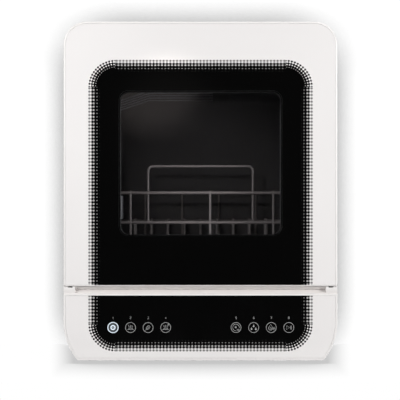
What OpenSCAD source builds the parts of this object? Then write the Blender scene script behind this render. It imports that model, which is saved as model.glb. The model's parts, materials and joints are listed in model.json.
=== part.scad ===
/* [Case] */
// Width of the case
case_w = 380; // [350:1:430]
// Depth from the door's face to the back panel
case_d = 392; // [385:1:440]
// Height from the underside to the top
case_h = 470; // [455:1:520]
// Radius of the two top edges
top_r = 32; // [20:1:42]
// Radius of the two lower side edges
low_r = 83; // [70:1:100]
// Height above the underside at which the lower edges start to curve
low_z = 53; // [45:1:60]
// Thickness of the case walls
wall = 3; // [2:0.5:4]
// How far the case lies inside the door's outline
case_inset = 0.8; // [0.5:0.1:2]
// Height of the feet
foot_h = 5; // [3:0.5:12]
// Radius of a foot
foot_r = 12; // [8:0.5:16]
// How far the water connections stand out at the back
rear_out = 18; // [14:1:30]

/* [Door] */
// Thickness of the door
door_t = 45; // [42:1:60]
// Radius of the door's rounded top rear edge, round the hinge axis
hinge_r = 25; // [23:0.5:28]
// Gap between the door and the case behind it
body_gap = 3; // [2.5:0.5:5]
// Thickness of the front glass
glass_t = 3.2; // [2:0.2:5]
// Width of the rim round the glass
rim = 2.8; // [2:0.2:5]
// Wall of the door's and the front panel's mouldings
skin = 3; // [2:0.5:4]
// Thickness of the door's inner liner
liner_t = 3; // [2:0.5:4]
// Thickness of the inner window pane
pane_t = 4; // [3:0.5:5]
// Distance of a hinge from the middle
hinge_x = 124; // [100:1:140]
// Radius of a hinge pin
pin_r = 4; // [3:0.5:5]
// Width of a hinge arm
arm_w = 5; // [4:0.5:7]
// Length of a hinge damper
damper_l = 18; // [12:1:30]

/* [Window] */
// Distance of the window from the door's sides
window_side = 77; // [70:1:95]
// Distance of the window's upper edge below the door's top
window_down = 96; // [92:1:120]
// Radius of the window's corners
window_r = 13; // [8:1:25]
// Height of the window above the door's lower edge
window_up = 70; // [60:1:80]

/* [Control panel] */
// Height of the fixed panel under the door
panel_h = 92; // [85:1:100]
// Height of the finger groove over the panel
groove_h = 11; // [9:0.5:14]
// Depth of the finger groove
groove_d = 12; // [10:1:20]
// Gap under the closed door
door_gap = 1.5; // [1.3:0.1:2]
// Width of the solid block at each end of the groove
end_block = 16; // [12:1:24]
// Number of touch keys on each side
key_n = 4; // [2:1:4]
// Distance of the innermost keys from the middle
key_first = 48.8; // [36:0.2:52]
// Radius of a light guide behind a key
key_r = 6; // [4:0.5:8]
// Distance from one key to the next
key_pitch = 24.4; // [18:0.2:26]
// Height of the keys above the panel's underside
key_z = 45; // [35:1:55]

/* [Tub] */
// Room between the case's side and the tub
side_room = 30; // [28:1:36]
// Height of the tub's underside above the case's underside
tub_up = 113; // [111:1:118]
// Room over the tub, under the top of the case
top_room = 48; // [46:1:60]
// Room behind the tub for the water tank and the fan
back_room = 82; // [76:1:96]
// Wall of the tub
tub_wall = 2.5; // [2:0.5:3]
// Radius of the tub's corners
tub_r = 20; // [12:1:30]
// Width of the door seal
seal_w = 9; // [6:0.5:9]

/* [Rack] */
// Room between the rack's side wires and the tub's walls
rack_side = 17.5; // [17:0.5:22]
// Room between the rack's back wires and the tub's outer back
rack_back_room = 15; // [12:1:24]
// Radius of a rack wire
wire_r = 1.6; // [1.2:0.1:2]
// Radius of a rack rail
rail_r = 2; // [1.6:0.1:2.5]
// Height of the rack's floor wires above the tub floor
rack_up = 32; // [31:1:40]
// Height of the lower rail above the floor wires
rail_low = 43; // [40:1:50]
// Height of the upper rail above the floor wires
rail_high = 85; // [70:1:95]
// Radius of a rack roller
roller_r = 10; // [8:0.5:11]
// Height of a plate tine
tine_h = 46; // [30:1:60]
// Number of tines in a row
tine_n = 9; // [5:1:11]

/* [Water] */
// Gap between the lower spray arm's tips and the tub's back wall
arm_gap = 14; // [11:1:26]
// How much shorter the upper spray arm is at each end
upper_less = 5; // [0:1:20]
// Radius of the sump
sump_r = 44; // [40:1:48]
// Radius of the coarse filter
filter_r = 32; // [24:1:34]
// Radius of the wash pump housing
pump_r = 36; // [32:1:38]
// Radius of the wash pump motor
motor_r = 32; // [26:1:34]
// Length of the wash pump motor
motor_l = 66; // [50:1:80]
// Gap between the water tank and the fan above it
tank_gap = 6; // [5:1:30]
// Outer radius of the water inlet's thread
inlet_r = 13.2; // [12:0.1:14]
// Outer radius of the drain spigot
drain_r = 9.5; // [8:0.5:11]
// Radius of the power cord's bore
cord_r = 4; // [3:0.5:5]
// Radius of the drying fan's duct
fan_r = 34; // [28:1:36]

/* [Hidden] */
$fn = 48;

// clearances
slip = 0.2;        // between a part and the recess that holds it
run = 0.05;        // round a shaft that turns
near = 0.3;        // between parts that move past each other
over = 1;          // how far a cut runs past a face

// planes from front to back
y_f = -(case_d + rear_out) / 2;
y_b = y_f + case_d;
door_y = y_f + door_t;
body_y = door_y + body_gap;
back_y = y_b - wall;
tub_y = body_y + wall;
tub_back = y_b - back_room;
tub_d = tub_back - tub_y;

// levels
case_top = foot_h + case_h;
seam_z = foot_h + low_z;
seam_top = case_top - top_r;
panel_top = foot_h + panel_h;
door_z = panel_top + groove_h;
hinge_y = door_y - hinge_r;
hinge_z = case_top - hinge_r;
liner_top = hinge_z - 12;
window_z = door_z + window_up;
window_h = case_top - window_down - window_z;
window_w = case_w - 2 * window_side;
tub_z = foot_h + tub_up;
tub_top = case_top - top_room;
tub_h = tub_top - tub_z;
tub_w = case_w - 2 * side_room;
tub_floor = tub_z + tub_wall;
tub_in = tub_w / 2 - tub_wall;

// door and panel
glass_back = y_f + glass_t;
wall_back = glass_back + skin;
liner_y = door_y - liner_t;
latch_x = (tub_w + case_w) / 4 + 1;
latch_z = door_z + 74;
latch_w = 6;
latch_h = 10;
latch_l = 14;
web_gap = 1;
web_out = hinge_x + arm_w / 2 + web_gap;
web_in = hinge_x - arm_w / 2 - web_gap;

// control board
guide_out = 2;
board_y = wall_back + guide_out;
board_t = 1.6;
board_edge = 14;
board_half = 18;
board_x = key_first + (key_n - 1) * key_pitch + board_edge;
spacer_r = 3.5;
key_level = foot_h + key_z;
keys = [for (s = [-1, 1], i = [0:key_n - 1]) s * (key_first + i * key_pitch)];

// the room under the tub
pan_floor = foot_h + case_inset + wall;
pump_in = 55;
pump_up = 53.2;
pump_y = tub_back - pump_in;
pump_z = pan_floor + pump_up;
pump_l = 30;
pump_wall = 3;
outlet_up = pump_r - 12;
shaft_r = 3;
arm_y = (tub_y + tub_back) / 2;
sump_in = 100;
sump_x = sump_in - case_w / 2;
sump_wall = 3;
sump_up = 37.2;
sump_z = pan_floor + sump_up;
pipe_r = 8;
pipe_wall = 2.5;
port_r = 11;
drain_gap = 55;
drain_y = pump_y - drain_gap;
drain_in = 30;
drain_pipe_x = drain_in - case_w / 2;
drain_pump_r = 24;
drain_motor_r = 20;
drain_motor_l = 45;
valve_in = 70;
valve_x = case_w / 2 - valve_in;

// spray arms
post_r = 11;
post_wall = 3;
arm_w2 = 24;
arm_h = 14;
arm_up = 7.5;
arm_l = tub_d / 2 - tub_wall - arm_gap;
arm_z = tub_floor + arm_up;
upper_h = 10;
upper_drop = 27;
upper_l = arm_l - upper_less;
upper_z = tub_top - upper_drop;
collar = 3;
riser_out = 13;
riser_x = -(tub_w / 2 + riser_out);
riser_up = 12;
riser_z = tub_top + riser_up;
branch_drop = 14;
branch_z = tub_z - branch_drop;

// water tank and filler
tank_front_gap = 6;
tank_back_gap = 7;
tank_y = tub_back + tank_front_gap;
tank_t = back_y - tank_back_gap - tank_y;
tank_up = 5;
tank_z = tub_z + tank_up;
tank_side = 25;
tank_w = case_w - 2 * tank_side;
tank_wall = 2.5;
fan_drop = 22;
tank_top = tub_top - fan_drop - fan_r - tank_gap;
tank_h = tank_top - tank_z;
fill_in = 80;
fill_x = fill_in - case_w / 2;
fill_y = tank_y + tank_t / 2;
neck_r = 24;
cap_w = 64;
cap_d = 56;
cap_t = 4.2;
cap_r = 8;
cap_drop = 0.5;
well_gap = 0.6;
well_d = 6;
cover_top = case_top - case_inset;
well_floor = cover_top - well_d;
cap_top = cover_top - cap_drop;
cap_z = cap_top - cap_t / 2;
cap_y = fill_y + cap_d / 2 - cap_t / 2;

// drying fan
fan_in = 130;
fan_x = case_w / 2 - fan_in;
fan_z = tub_top - fan_drop;
fan_duct_r = 12;
fan_duct_l = 15;
fan_y = tub_back + fan_duct_l;

// rack
floor_z = tub_floor + rack_up;
low_rail_z = floor_z + rail_low;
high_rail_z = floor_z + rail_high;
rack_front_gap = 9;
rack_y0 = body_y + rack_front_gap;
rack_y1 = tub_back - rack_back_room;
rack_d = rack_y1 - rack_y0;
rack_x = tub_in - rack_side;
rack_w = 2 * rack_x;
floor_pitch = rack_w / 7;
cross_pitch = rack_d / 10;
cross_z = floor_z - 2 * wire_r + slip;
front_posts = [for (share = [-0.707, 0.097, 0.736]) share * rack_x];
post_top = high_rail_z + rail_r + 1;
cup_half = 0.529 * rack_x;
cup_up = 37.5;
cup_z = high_rail_z + cup_up;
cup_r = 7;

// runners and rollers
roller_up = 17.3;
roller_z = floor_z + roller_up;
roller_in = 12;
roller_back_y = rack_y1 - roller_in;
roller_front_in = 14;
roller_front_y = tub_y + roller_front_in;
axle_r = 2.5;
sheet_t = 1.5;
rail_w = 10;
rail_floor = roller_z - roller_r - near;
rail_head = roller_z + roller_r + 4 * near;
runner_x = rack_x + rail_r;
runner_z = roller_z + roller_r + near;
runner_w = 4.8;
roller_back_x = tub_in - rail_w + 0.5;
roller_back_w = rail_w - sheet_t - 1.2;

// float in the tub's front right corner
float_in = 36;
float_x = tub_in - float_in;
float_back = 42;
float_y = tub_y + float_back;
float_r = 14;
float_h = 16;
stem_r = 4;

// shapes along the axes
module along_y(y0, y1) {
  translate([0, y1, 0]) rotate([90, 0, 0]) linear_extrude(y1 - y0) children();
}
module along_x(x0, x1) {
  translate([x0, 0, 0]) rotate([90, 0, 90]) linear_extrude(x1 - x0) children();
}
module rod_x(x0, x1, y, z, r) {
  translate([x0, y, z]) rotate([0, 90, 0]) cylinder(r = r, h = x1 - x0);
}
module rod_y(x, y0, y1, z, r) {
  translate([x, y1, z]) rotate([90, 0, 0]) cylinder(r = r, h = y1 - y0);
}
module rod_z(x, y, z0, z1, r) {
  translate([x, y, z0]) cylinder(r = r, h = z1 - z0);
}
module block(x0, x1, y0, y1, z0, z1) {
  translate([x0, y0, z0]) cube([x1 - x0, y1 - y0, z1 - z0]);
}
module round_rect(w, h, r) {
  translate([r, 0]) square([w - 2 * r, h]);
  translate([0, r]) square([w, h - 2 * r]);
  for (x = [r, w - r], y = [r, h - r]) translate([x, y]) circle(r);
}
module band(z0, z1) {
  translate([-case_w, z0]) square([2 * case_w, z1 - z0]);
}

// outlines seen from the front
module case_outline(t) {
  half = case_w / 2 - t;
  intersection() {
    union() {
      for (s = [-1, 1]) {
        translate([s * (case_w / 2 - top_r), seam_top]) circle(top_r - t);
        translate([s * (case_w / 2 - low_r), seam_z]) circle(low_r - t);
      }
      translate([-case_w / 2 + top_r, seam_z]) square([case_w - 2 * top_r, case_h - low_z - t]);
      translate([-half, seam_z]) square([2 * half, seam_top - seam_z]);
      translate([-case_w / 2 + low_r, foot_h + t]) square([case_w - 2 * low_r, low_z]);
    }
    translate([-half, foot_h + t]) square([2 * half, case_h - 2 * t]);
  }
}
module outline_between(t, z0, z1) {
  intersection() {
    case_outline(t);
    band(z0, z1);
  }
}
module window_shape(grow) {
  translate([-window_w / 2 - grow, window_z - grow])
    round_rect(window_w + 2 * grow, window_h + 2 * grow, window_r + grow);
}
module tub_shape(grow) {
  translate([-tub_w / 2 - grow, tub_z - grow])
    round_rect(tub_w + 2 * grow, tub_h + 2 * grow, tub_r + grow);
}
module case_ring(y0, y1, z0, z1) {
  along_y(y0, y1) difference() {
    outline_between(case_inset, z0, z1);
    case_outline(case_inset + wall);
  }
}

// fixed case
post_in = 25;
post_back = 16;
tub_post_x = tub_w / 2 - post_in;
tub_posts = [for (s = [-1, 1], y = [tub_y + post_in, tub_back - post_back]) [s * tub_post_x, y]];
tank_post_gap = 28;
tank_post_x = -sump_x - tank_post_gap;
support_r = 8;
foot_side = 65;
foot_in = 30;
foot_x = case_w / 2 - foot_side;
foot_spots = [for (s = [-1, 1], y = [body_y + foot_in, back_y - foot_in]) [s * foot_x, y]];
stud_r = 3;
cradle_w = 20;
cradle_half = 18;
drain_l = 22;
motor_mid = pump_l / 2 + motor_l / 2;
drain_mid = drain_y - drain_l - drain_motor_l / 2;
module base_pan() {
  color("gainsboro") difference() {
    union() {
      case_ring(body_y, back_y, foot_h, seam_z);
      along_y(door_y, body_y) outline_between(2 * case_inset, foot_h, panel_top);
    }
    for (p = foot_spots) rod_z(p[0], p[1], foot_h, pan_floor + over, stud_r);
    block(-key_first, key_first, door_y - over, body_y + over, key_level - board_half / 2,
      key_level + board_half);
  }
}
module pan_supports() {
  color("dimgray") {
    for (p = tub_posts) rod_z(p[0], p[1], pan_floor, tub_z, support_r);
    for (s = [-1, 1]) rod_z(s * tank_post_x, fill_y, pan_floor, tank_z, support_r);
    difference() {
      union() {
        cradle(0, pump_y, cradle_w / 2, cradle_half, pump_z - pump_r * 0.7);
        cradle(motor_mid, pump_y, cradle_w / 2, cradle_half, pump_z - motor_r * 0.7);
        cradle(sump_x, drain_mid, drain_motor_r * 0.6, cradle_w / 2, pump_z - drain_motor_r * 0.6);
      }
      rod_x(-pump_l / 2 - over, pump_l / 2, pump_y, pump_z, pump_r);
      rod_x(pump_l / 2, pump_l / 2 + motor_l, pump_y, pump_z, motor_r);
      rod_y(sump_x, drain_y - drain_l - drain_motor_l, drain_y - drain_l, pump_z, drain_motor_r);
    }
  }
}
module cradle(x, y, half_x, half_y, z1) {
  block(x - half_x, x + half_x, y - half_y, y + half_y, pan_floor, z1);
}
screw_lip = 12;
module side_panel(s) {
  color("white") intersection() {
    union() {
      case_ring(body_y, back_y, seam_z, seam_top);
      rear_lip(seam_z, seam_top);
    }
    block(s > 0 ? 0 : -case_w, s > 0 ? case_w : 0, y_f, y_b, 0, case_top);
  }
}
module rear_lip(z0, z1) {
  difference() {
    along_y(back_y - 2, back_y) difference() {
      outline_between(case_inset + wall, z0, z1);
      case_outline(case_inset + wall + screw_lip);
    }
    back_holes(screw_r);
  }
}
module left_side_panel() side_panel(-1);
module right_side_panel() side_panel(1);
module top_cover() {
  wx = cap_w / 2 + well_gap;
  wy = cap_d / 2 + well_gap;
  color("white") difference() {
    union() {
      case_ring(body_y, back_y, seam_top, case_top);
      rear_lip(seam_top, case_top);
      block(fill_x - wx - wall, fill_x + wx + wall, fill_y - wy - 3 * wall, fill_y + wy + wall,
        well_floor - wall, cover_top - over);
    }
    block(fill_x - wx, fill_x + wx, fill_y - wy, fill_y + wy, well_floor, cover_top + over);
    rod_z(fill_x, fill_y, well_floor - wall - over, well_floor + over, neck_r);
    block(fill_x - 12, fill_x + 12, fill_y - wy - 2 * wall, fill_y, well_floor, cover_top + over);
    rod_x(fill_x - wx - wall / 2, fill_x + wx + wall / 2, cap_y, cap_z, cap_pin_r);
  }
  color("silver")
    rod_x(fill_x - wx - wall / 2, fill_x + wx + wall / 2, cap_y, cap_z, cap_pin_r);
}
cap_pin_r = 1;
screw_r = 1.5;
module back_holes(r) {
  lip_x = case_w / 2 - case_inset - wall - screw_lip / 2;
  lip_top = cover_top - wall - screw_lip / 2;
  for (s = [-1, 1]) {
    for (z = [seam_z + 30, (seam_z + seam_top) / 2, seam_top - 30])
      rod_y(s * lip_x, back_y - 8, y_b + over, z, r);
    rod_y(s * lip_x / 2, back_y - 8, y_b + over, lip_top, r);
  }
}
module back_panel() {
  color("white") difference() {
    along_y(back_y, y_b) case_outline(case_inset);
    back_holes(screw_r + slip);
    rod_y(fan_x, back_y - over, y_b + over, fan_z, fan_r + 3);
    rod_y(drain_pipe_x, back_y - over, y_b + over, pump_z, drain_r + slip);
    rod_y(valve_x, back_y - over, y_b + over, pump_z, inlet_r + slip);
    rod_y(gland_x, back_y - over, y_b + over, gland_z, gland_r);
  }
}
module vent_grille() {
  slat = 4;
  rim_r = fan_r + 3 - slip;
  color("dimgray") intersection() {
    rod_y(fan_x, back_y, y_b, fan_z, rim_r);
    union() {
      difference() {
        rod_y(fan_x, back_y, y_b, fan_z, rim_r);
        rod_y(fan_x, back_y - over, y_b + over, fan_z, fan_r - wall);
      }
      for (i = [-3:3])
        block(fan_x - rim_r, fan_x + rim_r, back_y, y_b, fan_z + i * 2.2 * slat - slat / 2,
          fan_z + i * 2.2 * slat + slat / 2);
      block(fan_x - 2, fan_x + 2, back_y, y_b, fan_z - rim_r, fan_z + rim_r);
    }
  }
}
module back_screws() {
  color("silver") {
    intersection() {
      back_holes(screw_r);
      block(-case_w, case_w, back_y - 6, y_b, 0, case_top);
    }
    intersection() {
      back_holes(2.2 * screw_r);
      block(-case_w, case_w, y_b, y_b + 1, 0, case_top);
    }
  }
}
module feet() {
  color("dimgray") for (p = foot_spots) {
    rod_z(p[0], p[1], 0, foot_h + case_inset, foot_r);
    rod_z(p[0], p[1], foot_h, pan_floor, stud_r);
  }
}
module front_frame() {
  color("gainsboro") difference() {
    along_y(body_y, tub_y) outline_between(case_inset + wall, panel_top - 12, case_top);
    along_y(body_y - over, tub_y + over) tub_shape(-tub_wall);
    for (s = [-1, 1]) {
      block(s * hinge_x - arm_w / 2 - web_gap, s * hinge_x + arm_w / 2 + web_gap,
        body_y - over, tub_y + over, hinge_z - arm_neck / 2 - web_gap,
        hinge_z + arm_neck / 2 + web_gap);
      block(s * latch_x - latch_w / 2 - 2, s * latch_x + latch_w / 2 + 2, body_y - over,
        tub_y + over, latch_z - latch_h / 2 - 4, latch_z + latch_h / 2 + 4);
    }
  }
}

// front panel with the touch keys
module panel_shell(z0, z1) {
  difference() {
    along_y(y_f, door_y) outline_between(0, z0, z1);
    along_y(y_f - over, glass_back) outline_between(rim, z0 + rim, z1 - rim);
    along_y(wall_back, door_y + over) outline_between(skin, z0 + skin, z1 - skin);
  }
}
module lower_front_panel() {
  color("white") difference() {
    union() {
      panel_shell(foot_h, panel_top);
      for (s = [-1, 1], t = [-1, 1])
        rod_y(s * (board_x - 1.5 * spacer_r), wall_back - over, board_y,
          key_level + t * (board_half - 1.2 * spacer_r), spacer_r);
    }
    for (x = keys) rod_y(x, y_f, wall_back + over, key_level, key_r);
  }
}
module control_glass() {
  g = rim + slip;
  color("black") along_y(y_f, glass_back) outline_between(g, foot_h + g, panel_top - g);
}
module light_guides() {
  color("lightcyan") for (x = keys) rod_y(x, glass_back, board_y, key_level, key_r);
}
chip_w = 16;
chip_t = 3;
plug_w = 24;
plug_h = 10;
plug_d = 8;
module touch_board() {
  back = board_y + board_t;
  color("darkgreen")
    block(-board_x, board_x, board_y, back, key_level - board_half, key_level + board_half);
  color("dimgray")
    block(-1.5 * chip_w, -chip_w / 2, back, back + chip_t, key_level - chip_w / 2,
      key_level + chip_w / 2);
  color("white")
    block(plug_w / 2, 1.5 * plug_w, back, back + plug_d, key_level - plug_h / 2,
      key_level + plug_h / 2);
}
module handle_recess() {
  top = door_z - door_gap;
  mid = (panel_top + door_z) / 2;
  half = case_w / 2 - end_block;
  lip = 0.8;
  roof = 2.5;
  web = 4;
  pocket_y = y_f + groove_d + web;
  color("white") difference() {
    along_y(y_f + lip, door_y) outline_between(0, panel_top, top);
    along_x(-half, half) polygon([
      [y_f - over, panel_top + lip], [y_f + lip, panel_top + lip], [y_f + groove_d, mid],
      [y_f + 2 * lip, top + lip], [y_f - over, top + lip]
    ]);
    block(-half, half, pocket_y, door_y - skin, panel_top - over, top - roof);
  }
}

// electronics and the power cord's gland
gland_gap = 40;
gland_up = 36;
gland_x = valve_x + gland_gap;
gland_z = pan_floor + gland_up;
gland_r = 9;
box_gap = 7;
box_w = 56;
box_in = 25;
box_back = 35;
box_h = 44;
box_wall = 2;
box_x1 = foot_x - box_gap;
box_x0 = box_x1 - box_w;
box_y0 = body_y + box_in;
box_y1 = pump_y - motor_r - box_back;
pillar_r = 2.5;
pillar_h = 6;
module board_box() {
  z0 = pan_floor;
  inset = box_wall + 2 * pillar_r;
  color("whitesmoke") {
    difference() {
      block(box_x0, box_x1, box_y0, box_y1, z0, z0 + box_h);
      block(box_x0 + box_wall, box_x1 - box_wall, box_y0 + box_wall, box_y1 - box_wall,
        z0 + box_wall, z0 + box_h + over);
    }
    for (x = [box_x0 + inset, box_x1 - inset], y = [box_y0 + inset, box_y1 - inset])
      rod_z(x, y, z0 + box_wall - slip, z0 + box_wall + pillar_h, pillar_r);
  }
}
board_gap = 1;
relay = 18;
coil_w = 12;
cap_can_r = 8;
terminal_h = 10;
module main_board() {
  z1 = pan_floor + box_wall + pillar_h + board_t;
  x0 = box_x0 + box_wall + board_gap;
  x1 = box_x1 - box_wall - board_gap;
  y0 = box_y0 + box_wall + board_gap;
  y1 = box_y1 - box_wall - board_gap;
  l = y1 - y0;
  color("darkgreen") block(x0, x1, y0, y1, z1 - board_t, z1);
  color("dimgray") {
    block(x0 + board_gap, x0 + board_gap + relay, y0 + 0.08 * l, y0 + 0.08 * l + relay, z1,
      z1 + relay);
    block(x1 - relay, x1 - relay + coil_w, y0 + 0.08 * l, y0 + 0.08 * l + relay, z1, z1 + coil_w);
    rod_z((x0 + x1) / 2, y0 + 0.5 * l, z1, z1 + relay, cap_can_r);
    block(x0 + 2 * board_gap, x1 - 2 * board_gap, y1 - 0.25 * l, y1 - 0.1 * l, z1,
      z1 + terminal_h);
  }
}
gland_lip = 2;
gland_out = 8;
gland_in = 6;
module cord_gland() {
  color("dimgray") difference() {
    union() {
      rod_y(gland_x, back_y - gland_in, y_b, gland_z, gland_r);
      rod_y(gland_x, y_b, y_b + gland_out, gland_z, gland_r + gland_lip);
      rod_y(gland_x, back_y - gland_in, back_y, gland_z, gland_r + gland_lip);
    }
    rod_y(gland_x, back_y - gland_in - over, y_b + gland_out + over, gland_z, cord_r);
  }
}

// tub
stem_less = 4;
module tub() {
  color("lightslategray") {
    difference() {
      along_y(tub_y, tub_back) tub_shape(0);
      along_y(tub_y - over, tub_back - tub_wall) tub_shape(-tub_wall);
      rod_z(sump_x, pump_y, tub_z - over, tub_floor + over, sump_r - sump_wall);
      rod_z(0, arm_y, tub_z - over, tub_floor + over, post_r);
      rod_z(0, arm_y, tub_top - tub_wall - over, tub_top + over, pipe_r);
      rod_y(fan_x, tub_back - tub_wall - over, tub_back + over, fan_z, fan_duct_r);
    }
    rod_z(float_x, float_y, tub_floor - over, tub_floor + float_h - stem_less, stem_r);
  }
}
module door_seal() {
  color("dimgray") along_y(door_y + near, body_y) difference() {
    tub_shape(seal_w - tub_wall);
    tub_shape(1 - tub_wall);
  }
}
rail_end = 4;
axle_gap = 0.4;
module rack_rails() {
  y0 = tub_y + rail_end;
  y1 = tub_back - tub_wall - rail_end;
  color("silver") for (s = [-1, 1]) mirror([s < 0 ? 1 : 0, 0, 0]) {
    block(tub_in - sheet_t, tub_in, y0, y1, rail_floor - sheet_t, rail_head + sheet_t);
    block(tub_in - rail_w, tub_in, y0, y1, rail_floor - sheet_t, rail_floor);
    block(tub_in - rail_w, tub_in, y0, y1, rail_head, rail_head + sheet_t);
    rod_x(runner_x + axle_gap, tub_in - sheet_t / 2, roller_front_y, roller_z, axle_r);
  }
}
module roller(x0, w, y) {
  color("lightgray") difference() {
    rod_x(x0, x0 + w, y, roller_z, roller_r);
    rod_x(x0 - over, x0 + w + over, y, roller_z, axle_r + run);
  }
}
module front_roller() roller(runner_x + 2 * near, runner_w - 2 * near, roller_front_y);
module back_roller() roller(roller_back_x, roller_back_w, roller_back_y);
module roller_front_left() mirror([1, 0, 0]) front_roller();
module roller_front_right() front_roller();
module roller_back_left() mirror([1, 0, 0]) back_roller();
module roller_back_right() back_roller();

// sump and filters
module sump() {
  color("gray") difference() {
    union() {
      rod_z(sump_x, pump_y, sump_z, tub_z, sump_r);
      rod_z(sump_x, pump_y, tub_z - sump_wall, tub_z, sump_r + 4);
      rod_x(sump_x, -pump_l / 2, pump_y, pump_z, port_r);
      rod_y(sump_x, drain_y, pump_y, pump_z, port_r);
      rod_y(sump_x, pump_y, fill_y, feed_z, pipe_r);
      rod_z(sump_x, fill_y, feed_z, tank_z, pipe_r);
      translate([sump_x, fill_y, feed_z]) sphere(pipe_r);
    }
    rod_z(sump_x, pump_y, sump_z + sump_wall, tub_z + over, sump_r - sump_wall);
    rod_x(sump_x, -pump_l / 2 + over, pump_y, pump_z, pipe_r);
    rod_y(sump_x, drain_y - over, pump_y, pump_z, pipe_r);
    rod_y(sump_x, pump_y, fill_y, feed_z, pipe_r - pipe_wall);
    rod_z(sump_x, fill_y, feed_z, tank_z + over, pipe_r - pipe_wall);
    translate([sump_x, fill_y, feed_z]) sphere(pipe_r - pipe_wall);
  }
}
feed_z = tub_z - 14;
plate_t = 1.2;
filter_top = tub_floor + plate_t + near;
module filter_plate() {
  color("silver") difference() {
    rod_z(sump_x, pump_y, tub_floor, tub_floor + plate_t, sump_r + 5);
    rod_z(sump_x, pump_y, tub_floor - over, tub_floor + 2 * plate_t, filter_r + near);
  }
}
module coarse_filter() {
  z0 = sump_z + sump_wall + 4;
  color("slategray") difference() {
    union() {
      rod_z(sump_x, pump_y, z0, filter_top + plate_t, filter_r);
      rod_z(sump_x, pump_y, filter_top, filter_top + plate_t, filter_r + 4);
    }
    rod_z(sump_x, pump_y, z0 + 2, filter_top + plate_t + over, filter_r - 1.5);
    for (i = [0:5]) translate([sump_x, pump_y, z0 + 8]) rotate(i * 60)
      translate([filter_r - 6, -8, 0]) cube([12, 16, tub_z - z0 - 14]);
  }
  color("slategray")
    block(sump_x - filter_r + 1, sump_x + filter_r - 1, pump_y - 2, pump_y + 2, filter_top - 8,
      filter_top + 2 * plate_t);
}

// wash pump
module wash_pump() {
  half = pump_l / 2;
  out_z = pump_z + outlet_up;
  color("darkgray") difference() {
    union() {
      rod_x(-half, half, pump_y, pump_z, pump_r);
      rod_y(0, arm_y + post_r + post_wall, pump_y, out_z, port_r - 1);
    }
    rod_x(pump_wall - half, half - pump_wall, pump_y, pump_z, pump_r - pump_wall - 1);
    rod_x(-half - over, 0, pump_y, pump_z, pipe_r);
    rod_x(0, half + over, pump_y, pump_z, shaft_r + run);
    rod_y(0, arm_y, pump_y, out_z, port_r - 1 - pipe_wall);
  }
}
shaft_in = 20;
module pump_motor() {
  x0 = pump_l / 2;
  color("silver") difference() {
    rod_x(x0, x0 + motor_l, pump_y, pump_z, motor_r);
    rod_x(x0 - over, x0 + shaft_in + near, pump_y, pump_z, shaft_r + run);
  }
}
module wash_impeller() {
  half = pump_l / 2 - pump_wall - 2;
  blade = pump_r - 10;
  color("white") {
    rod_x(-half, pump_l / 2 + shaft_in, pump_y, pump_z, shaft_r);
    rod_x(-half + 6, 6, pump_y, pump_z, shaft_r + 4);
    rod_x(4, 6, pump_y, pump_z, blade);
    for (i = [0:5]) translate([0, pump_y, pump_z]) rotate([i * 60, 0, 0])
      translate([-4, 0, -1]) cube([9, blade - 1, 2]);
  }
}

// spray arms
hub_z = arm_z + arm_h;
module arm_post() {
  low = pump_z + outlet_up - 16;
  color("darkgray") difference() {
    union() {
      rod_z(0, arm_y, low, tub_z, post_r + post_wall);
      rod_z(0, arm_y, low, hub_z + near + collar, post_r);
      rod_z(0, arm_y, arm_z - near - collar, arm_z - near, post_r + post_wall);
      rod_z(0, arm_y, hub_z + near, hub_z + near + collar, post_r + post_wall);
    }
    rod_z(0, arm_y, low + post_wall, hub_z + near, post_r - post_wall);
    rod_y(0, arm_y, arm_y + 2 * post_r, pump_z + outlet_up, port_r - 1 - pipe_wall);
    rod_x(-2 * post_r, 0, arm_y, branch_z, pipe_r - pipe_wall);
    rod_x(-2 * post_r, 2 * post_r, arm_y, arm_z + arm_h / 2, 3);
    rod_y(0, arm_y - 2 * post_r, arm_y + 2 * post_r, arm_z + arm_h / 2, 3);
  }
}
module spray_arm(l, w, h, z, bore, up) {
  inner = 2;
  difference() {
    union() {
      bar(l, w, z, z + h);
      rod_z(0, arm_y, z, z + h, bore + 8);
    }
    bar(l - inner, w - 2 * inner, z + inner, z + h - inner);
    rod_z(0, arm_y, z - over, z + h + over, bore + run);
    for (s = [-1, 1], i = [1:4])
      rod_z(s * (bore + 12 + i * (l - bore - 22) / 4), arm_y + (i % 2 == 0 ? 4 : -4),
        up ? z + h - 2 * inner : z - over, up ? z + h + over : z + 2 * inner, 1.2);
  }
}
module bar(l, w, z0, z1) {
  block(-l + w / 2, l - w / 2, arm_y - w / 2, arm_y + w / 2, z0, z1);
  for (s = [-1, 1]) rod_z(s * (l - w / 2), arm_y, z0, z1, w / 2);
}
module lower_spray_arm() {
  color("lightgray") spray_arm(arm_l, arm_w2, arm_h, arm_z, post_r, true);
}
module upper_spray_arm() {
  color("lightgray") spray_arm(upper_l, arm_w2 - 4, upper_h, upper_z, pipe_r, false);
}
module riser_path(r) {
  rod_x(riser_x, -post_r - post_wall, arm_y, branch_z, r);
  rod_z(riser_x, arm_y, branch_z, riser_z, r);
  rod_x(riser_x, 0, arm_y, riser_z, r);
  rod_z(0, arm_y, upper_z - collar - near, riser_z, r);
  for (p = [[riser_x, branch_z], [riser_x, riser_z], [0, riser_z]])
    translate([p[0], arm_y, p[1]]) sphere(r);
}
module riser_pipe() {
  hub_top = upper_z + upper_h;
  color("gray") difference() {
    union() {
      riser_path(pipe_r);
      rod_z(0, arm_y, upper_z - near - collar, upper_z - near, pipe_r + collar);
      rod_z(0, arm_y, hub_top + near, hub_top + near + collar, pipe_r + collar);
    }
    difference() {
      riser_path(pipe_r - pipe_wall);
      rod_z(0, arm_y, upper_z - 2 * collar, upper_z - near, pipe_r);
    }
    rod_x(-post_r - post_wall - over, 0, arm_y, branch_z, pipe_r - pipe_wall);
    rod_x(-2 * pipe_r, 2 * pipe_r, arm_y, upper_z + upper_h / 2, 2);
  }
}

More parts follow.
